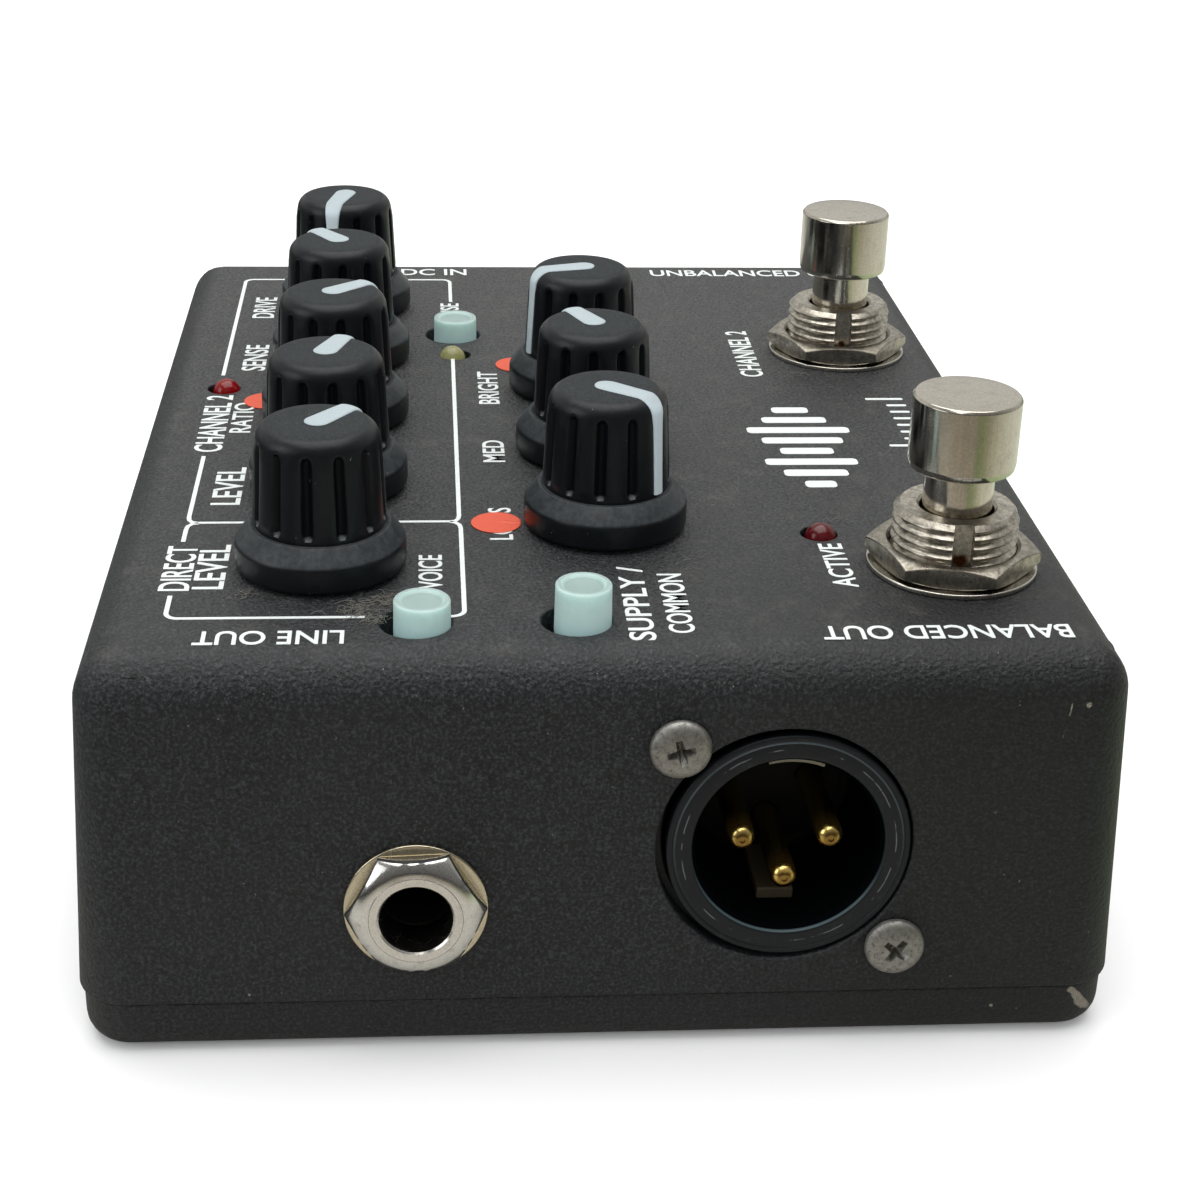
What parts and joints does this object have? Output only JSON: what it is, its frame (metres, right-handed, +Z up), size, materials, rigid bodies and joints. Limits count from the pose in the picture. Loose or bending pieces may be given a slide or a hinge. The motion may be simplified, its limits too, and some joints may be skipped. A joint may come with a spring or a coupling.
{
  "type": "direct injection box",
  "caption": "Floor-standing direct injection box with rotary controls, latching push buttons, foot switches, lamps, phone jacks, DC inlet and balanced three-pin output in a cast case.",
  "frame": {"origin": "centre of the base plate underside, on the floor plane", "axes": "+Z up; +X along the long side, away from the wall with the output jack and balanced connector; +Y away from the foot switches, towards the upper row of knobs"},
  "size_m": [0.1238, 0.094, 0.0552],
  "materials": {
    "powder_coat": "fine-textured satin charcoal powder coat",
    "powder_coat_base": "fine-textured satin charcoal powder coat, worn edges",
    "screw_steel": "dull zinc-plated steel",
    "screw_zinc": "corroded zinc-plated steel",
    "knob_plastic": "soft-touch black",
    "shaft_metal": "turned",
    "pot_metal": "plated can",
    "switch_nickel": "polished nickel",
    "switch_bushing": "worn nickel-plated thread",
    "nut_nickel": "nickel plate, slightly tarnished",
    "washer_nickel": "nickel plate",
    "button_mint": "translucent pale mint",
    "lamp_red": "tinted epoxy",
    "lamp_amber": "tinted epoxy",
    "lamp_dark_red": "tinted epoxy",
    "jack_body": "moulded",
    "jack_nut_nickel": "satin nickel",
    "connector_black": "moulded satin black",
    "gold_contact": "gold plate",
    "board_green": "solder mask",
    "battery_case": "printed can",
    "snap_plastic": "vinyl"
  },
  "bodies": {
    "housing": {"enclosure_body": "powder_coat", "base_plate": "powder_coat_base", "base_screw_1": "screw_steel", "base_screw_2": "screw_steel", "base_screw_3": "screw_steel", "base_screw_4": "screw_steel", "potentiometer_clean_level": "pot_metal", "potentiometer_drive_level": "pot_metal", "potentiometer_blend": "pot_metal", "potentiometer_trigger": "pot_metal", "potentiometer_gain": "pot_metal", "potentiometer_bass": "pot_metal", "potentiometer_mid": "pot_metal", "potentiometer_treble": "pot_metal", "footswitch_effect_body": "switch_bushing", "footswitch_effect_nut": "nut_nickel", "footswitch_effect_washer": "washer_nickel", "footswitch_distortion_body": "switch_bushing", "footswitch_distortion_nut": "nut_nickel", "footswitch_distortion_washer": "washer_nickel", "lamp_drive": "lamp_red", "lamp_gate": "lamp_amber", "lamp_effect": "lamp_dark_red", "output_jack": "jack_body", "output_jack_nut": "jack_nut_nickel", "input_jack": "jack_body", "input_jack_nut": "jack_nut_nickel", "parallel_jack": "jack_body", "parallel_jack_nut": "jack_nut_nickel", "dc_inlet": "connector_black", "balanced_output_shell": "connector_black", "balanced_output_pin_1": "gold_contact", "balanced_output_pin_2": "gold_contact", "balanced_output_pin_3": "gold_contact", "balanced_output_screw_1": "screw_zinc", "balanced_output_screw_2": "screw_zinc", "circuit_board": "board_green", "battery": "battery_case", "battery_snap": "snap_plastic"},
    "knob_clean_level": {"knob_clean_level": "knob_plastic", "shaft_clean_level": "shaft_metal"},
    "knob_drive_level": {"knob_drive_level": "knob_plastic", "shaft_drive_level": "shaft_metal"},
    "knob_blend": {"knob_blend": "knob_plastic", "shaft_blend": "shaft_metal"},
    "knob_trigger": {"knob_trigger": "knob_plastic", "shaft_trigger": "shaft_metal"},
    "knob_gain": {"knob_gain": "knob_plastic", "shaft_gain": "shaft_metal"},
    "knob_bass": {"knob_bass": "knob_plastic", "shaft_bass": "shaft_metal"},
    "knob_mid": {"knob_mid": "knob_plastic", "shaft_mid": "shaft_metal"},
    "knob_treble": {"knob_treble": "knob_plastic", "shaft_treble": "shaft_metal"},
    "footswitch_effect": {"footswitch_effect_plunger": "switch_nickel"},
    "footswitch_distortion": {"footswitch_distortion_plunger": "switch_nickel"},
    "button_colour": {"push_button_colour": "button_mint"},
    "button_gate": {"push_button_gate": "button_mint"},
    "button_ground_lift": {"push_button_ground_lift": "button_mint"}
  },
  "joints": [
    {"name": "turn_clean_level", "type": "hinge", "parent": "housing", "child": "knob_clean_level", "pos_m": [-0.03785, 0.02515, 0.03838], "axis": [0, 0, 1], "range_deg": [-22, 278]},
    {"name": "turn_drive_level", "type": "hinge", "parent": "housing", "child": "knob_drive_level", "pos_m": [-0.0188, 0.02515, 0.03838], "axis": [0, 0, 1], "range_deg": [-39, 261]},
    {"name": "turn_blend", "type": "hinge", "parent": "housing", "child": "knob_blend", "pos_m": [0.00025, 0.02515, 0.03838], "axis": [0, 0, 1], "range_deg": [-10.5, 289.5]},
    {"name": "turn_trigger", "type": "hinge", "parent": "housing", "child": "knob_trigger", "pos_m": [0.0193, 0.02515, 0.03838], "axis": [0, 0, 1], "range_deg": [-96, 204]},
    {"name": "turn_gain", "type": "hinge", "parent": "housing", "child": "knob_gain", "pos_m": [0.03835, 0.02515, 0.03838], "axis": [0, 0, 1], "range_deg": [-227, 73]},
    {"name": "turn_bass", "type": "hinge", "parent": "housing", "child": "knob_bass", "pos_m": [-0.0289, -0.00155, 0.03838], "axis": [0, 0, 1], "range_deg": [-290, 10]},
    {"name": "turn_mid", "type": "hinge", "parent": "housing", "child": "knob_mid", "pos_m": [-0.0099, -0.00155, 0.03838], "axis": [0, 0, 1], "range_deg": [-86, 214]},
    {"name": "turn_treble", "type": "hinge", "parent": "housing", "child": "knob_treble", "pos_m": [0.00915, -0.00155, 0.03838], "axis": [0, 0, 1], "range_deg": [-167, 133]},
    {"name": "press_effect", "type": "slide", "parent": "housing", "child": "footswitch_effect", "axis": [0, 0, -1], "range_m": [0, 0.0025]},
    {"name": "press_distortion", "type": "slide", "parent": "housing", "child": "footswitch_distortion", "axis": [0, 0, -1], "range_m": [0, 0.0025]},
    {"name": "latch_colour", "type": "slide", "parent": "housing", "child": "button_colour", "axis": [0, 0, 1], "range_m": [-0.0003, 0.00133]},
    {"name": "latch_gate", "type": "slide", "parent": "housing", "child": "button_gate", "axis": [0, 0, 1], "range_m": [-0.0003, 0.00133]},
    {"name": "latch_ground_lift", "type": "slide", "parent": "housing", "child": "button_ground_lift", "axis": [0, 0, 1], "range_m": [-0.00163, 0]}
  ]
}
